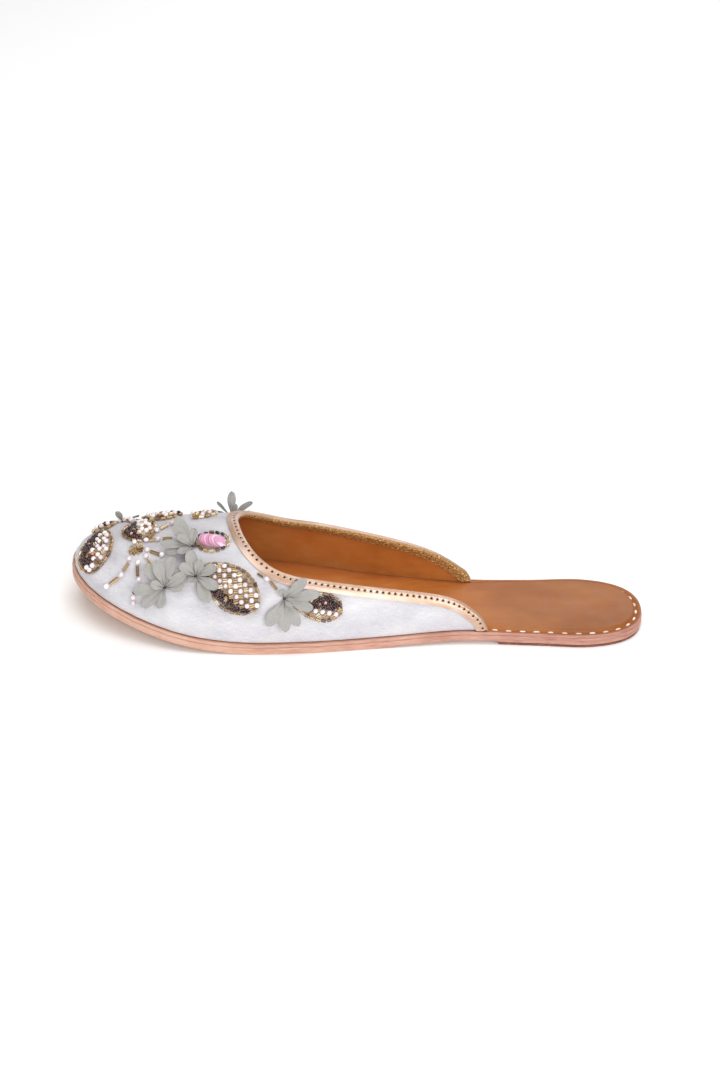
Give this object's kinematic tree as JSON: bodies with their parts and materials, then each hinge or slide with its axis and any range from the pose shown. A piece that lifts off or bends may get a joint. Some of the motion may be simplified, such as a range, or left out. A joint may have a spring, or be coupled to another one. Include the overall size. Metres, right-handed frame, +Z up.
{
  "type": "mojari shoe",
  "caption": "Backless flat mule with a low hollow vamp, folded collar binding, leather sole, stitched insole, beaded leaves and fabric flowers; left foot.",
  "frame": {"origin": "middle of the footprint's box, on the floor", "axes": "+X from heel to toe, +Y towards the wearer's left, +Z up"},
  "size_m": [0.258, 0.0854, 0.0459],
  "materials": {
    "sole_leather": "matte natural vegetable-tanned leather, pink-brown cut edge",
    "insole_leather": "smooth tan leather with a soft sheen and cream edge stitches",
    "satin": "cool white silk satin over a leather wall, orange-tan leather lining",
    "gold_leather": "metallic pale gold leather, dark stitch holes",
    "beads": "gold bugle and seed beads, dark bronze beads and small pearls",
    "sequins": "overlapping clear pink sequins",
    "petal_cloth": "grey-green organza petals"
  },
  "bodies": {
    "root": {"outsole": "sole_leather", "heel_lift": "sole_leather", "insole": "insole_leather", "upper": "satin", "collar_binding": "gold_leather", "leaf_toe": "beads", "leaf_left_large": "beads", "leaf_left_small": "beads", "leaf_spine": "beads", "leaf_right_upper": "beads", "leaf_right_lower": "beads", "leaf_right_toe": "beads", "teardrop": "beads", "sequin_stack": "sequins", "flower_1": "petal_cloth", "flower_2": "petal_cloth", "flower_3": "petal_cloth", "flower_4": "petal_cloth", "flower_5": "petal_cloth", "flower_6": "petal_cloth"}
  },
  "joints": []
}
